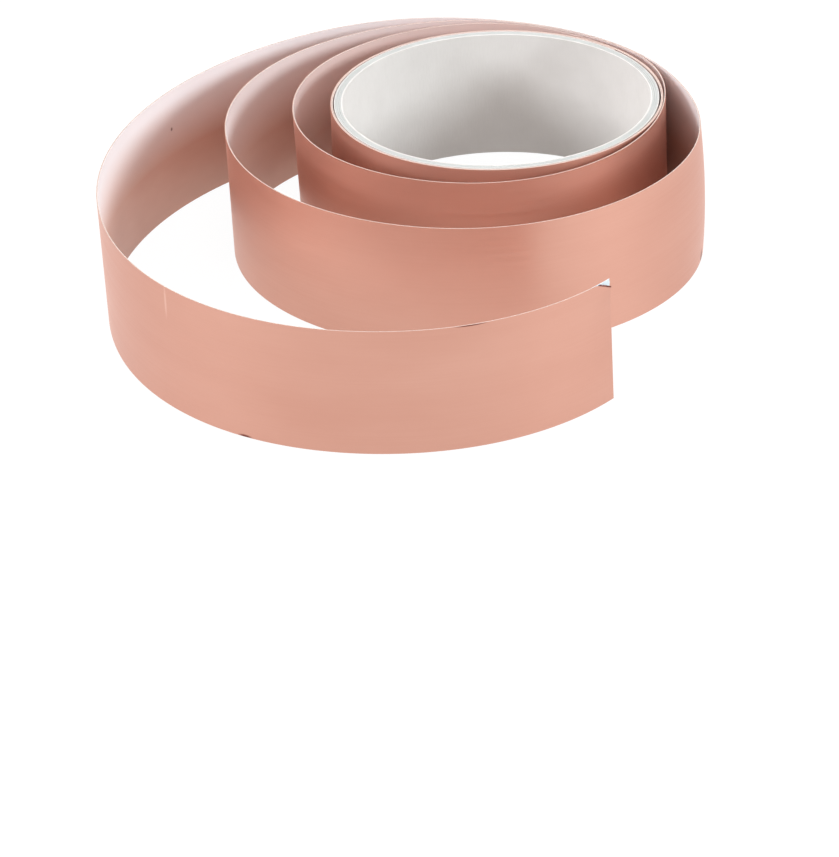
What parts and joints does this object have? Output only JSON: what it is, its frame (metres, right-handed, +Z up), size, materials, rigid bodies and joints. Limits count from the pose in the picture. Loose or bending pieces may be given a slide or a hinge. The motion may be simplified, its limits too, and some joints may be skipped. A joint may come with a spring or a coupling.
{
  "type": "copper foil tape roll",
  "caption": "Roll of adhesive-backed copper foil tape on a cardboard core, standing on edge with its coils let out loose and its free end ready to peel.",
  "frame": {"origin": "middle of the footprint of the whole roll, on the surface it stands on", "axes": "+Z up along the core's axis, which is the tape's width; +Y from the free end towards the core, the longest way across; +X to the right of that"},
  "size_m": [0.1456, 0.1748, 0.032],
  "materials": {
    "copper_foil": "satin rolled copper, bare",
    "adhesive": "clear acrylic adhesive, tacky",
    "liner_film": "hazy translucent release film, satin gloss",
    "white_paper": "smooth white paper ply, matte",
    "grey_board": "grey recycled board, cut edge"
  },
  "bodies": {
    "core": {"core_inner_ply": "white_paper", "core_board_ply_1": "grey_board", "core_board_ply_2": "grey_board", "core_board_ply_3": "grey_board", "core_outer_ply": "white_paper", "start_tab": "white_paper", "wound_foil": "copper_foil", "wound_adhesive": "adhesive", "wound_liner": "liner_film"},
    "inner_coil": {"inner_coil_foil": "copper_foil", "inner_coil_adhesive": "adhesive", "inner_coil_liner": "liner_film"},
    "middle_coil": {"middle_coil_foil": "copper_foil", "middle_coil_adhesive": "adhesive", "middle_coil_liner": "liner_film"},
    "outer_coil": {"outer_coil_foil": "copper_foil", "outer_coil_adhesive": "adhesive", "outer_coil_liner": "liner_film"},
    "tail": {"tail_foil": "copper_foil", "tail_adhesive": "adhesive", "tail_liner": "liner_film"},
    "liner_flap": {"liner_flap": "liner_film"}
  },
  "joints": [
    {"name": "coils_on_core", "type": "hinge", "parent": "core", "child": "inner_coil", "pos_m": [0.02371, 0.03843, 0], "axis": [0, 0, 1], "range_deg": [-20, 30]},
    {"name": "middle_coil_open", "type": "hinge", "parent": "inner_coil", "child": "middle_coil", "pos_m": [0.06366, 0.02994, 0], "axis": [0, 0, 1], "range_deg": [-15, 0]},
    {"name": "outer_coil_open", "type": "hinge", "parent": "middle_coil", "child": "outer_coil", "pos_m": [0.07235, 0.01678, 0], "axis": [0, 0, 1], "range_deg": [-15, 0]},
    {"name": "tail_swing", "type": "hinge", "parent": "outer_coil", "child": "tail", "pos_m": [-0.00975, -0.08644, 0], "axis": [0, 0, 1], "range_deg": [-35, 15]},
    {"name": "liner_peel", "type": "hinge", "parent": "tail", "child": "liner_flap", "pos_m": [0.0401, -0.07047, 0], "axis": [0, 0, 1], "range_deg": [0, 75]}
  ]
}
